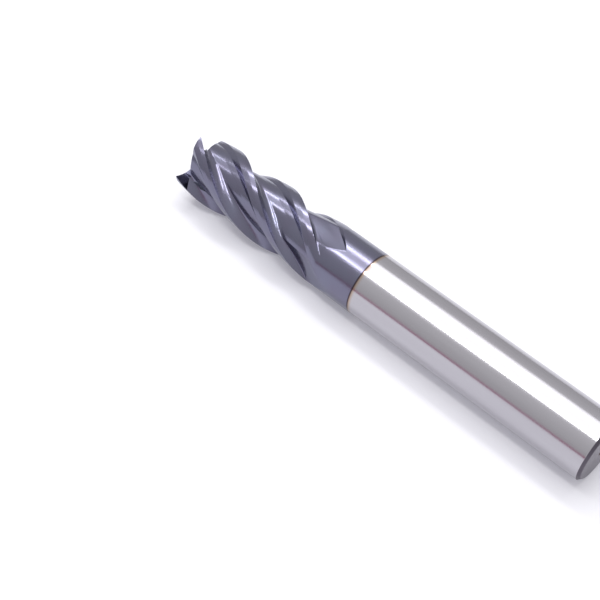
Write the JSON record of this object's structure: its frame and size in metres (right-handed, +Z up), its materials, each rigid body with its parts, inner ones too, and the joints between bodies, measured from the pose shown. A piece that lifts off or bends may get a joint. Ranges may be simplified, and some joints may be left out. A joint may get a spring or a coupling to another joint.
{
  "type": "end mill",
  "caption": "Solid carbide square-nose end mill with right-hand helical flutes, a coated cutting end and a plain ground cylindrical shank.",
  "frame": {"origin": "middle of the tool's length, on the surface that it lies on", "axes": "+X along the tool from the cutting tip to the shank end, +Z up, the tool lying on its side"},
  "size_m": [0.075, 0.01, 0.01],
  "materials": {
    "ground_carbide": "bright centreless-ground bare carbide",
    "coated_carbide": "satin blue-grey hard coating a few micrometres thick over ground carbide"
  },
  "bodies": {
    "root": {"shank": "ground_carbide", "neck": "coated_carbide", "web": "coated_carbide", "end_centre": "coated_carbide", "tooth_1": "coated_carbide", "tooth_2": "coated_carbide", "tooth_3": "coated_carbide", "tooth_4": "coated_carbide"}
  },
  "joints": []
}
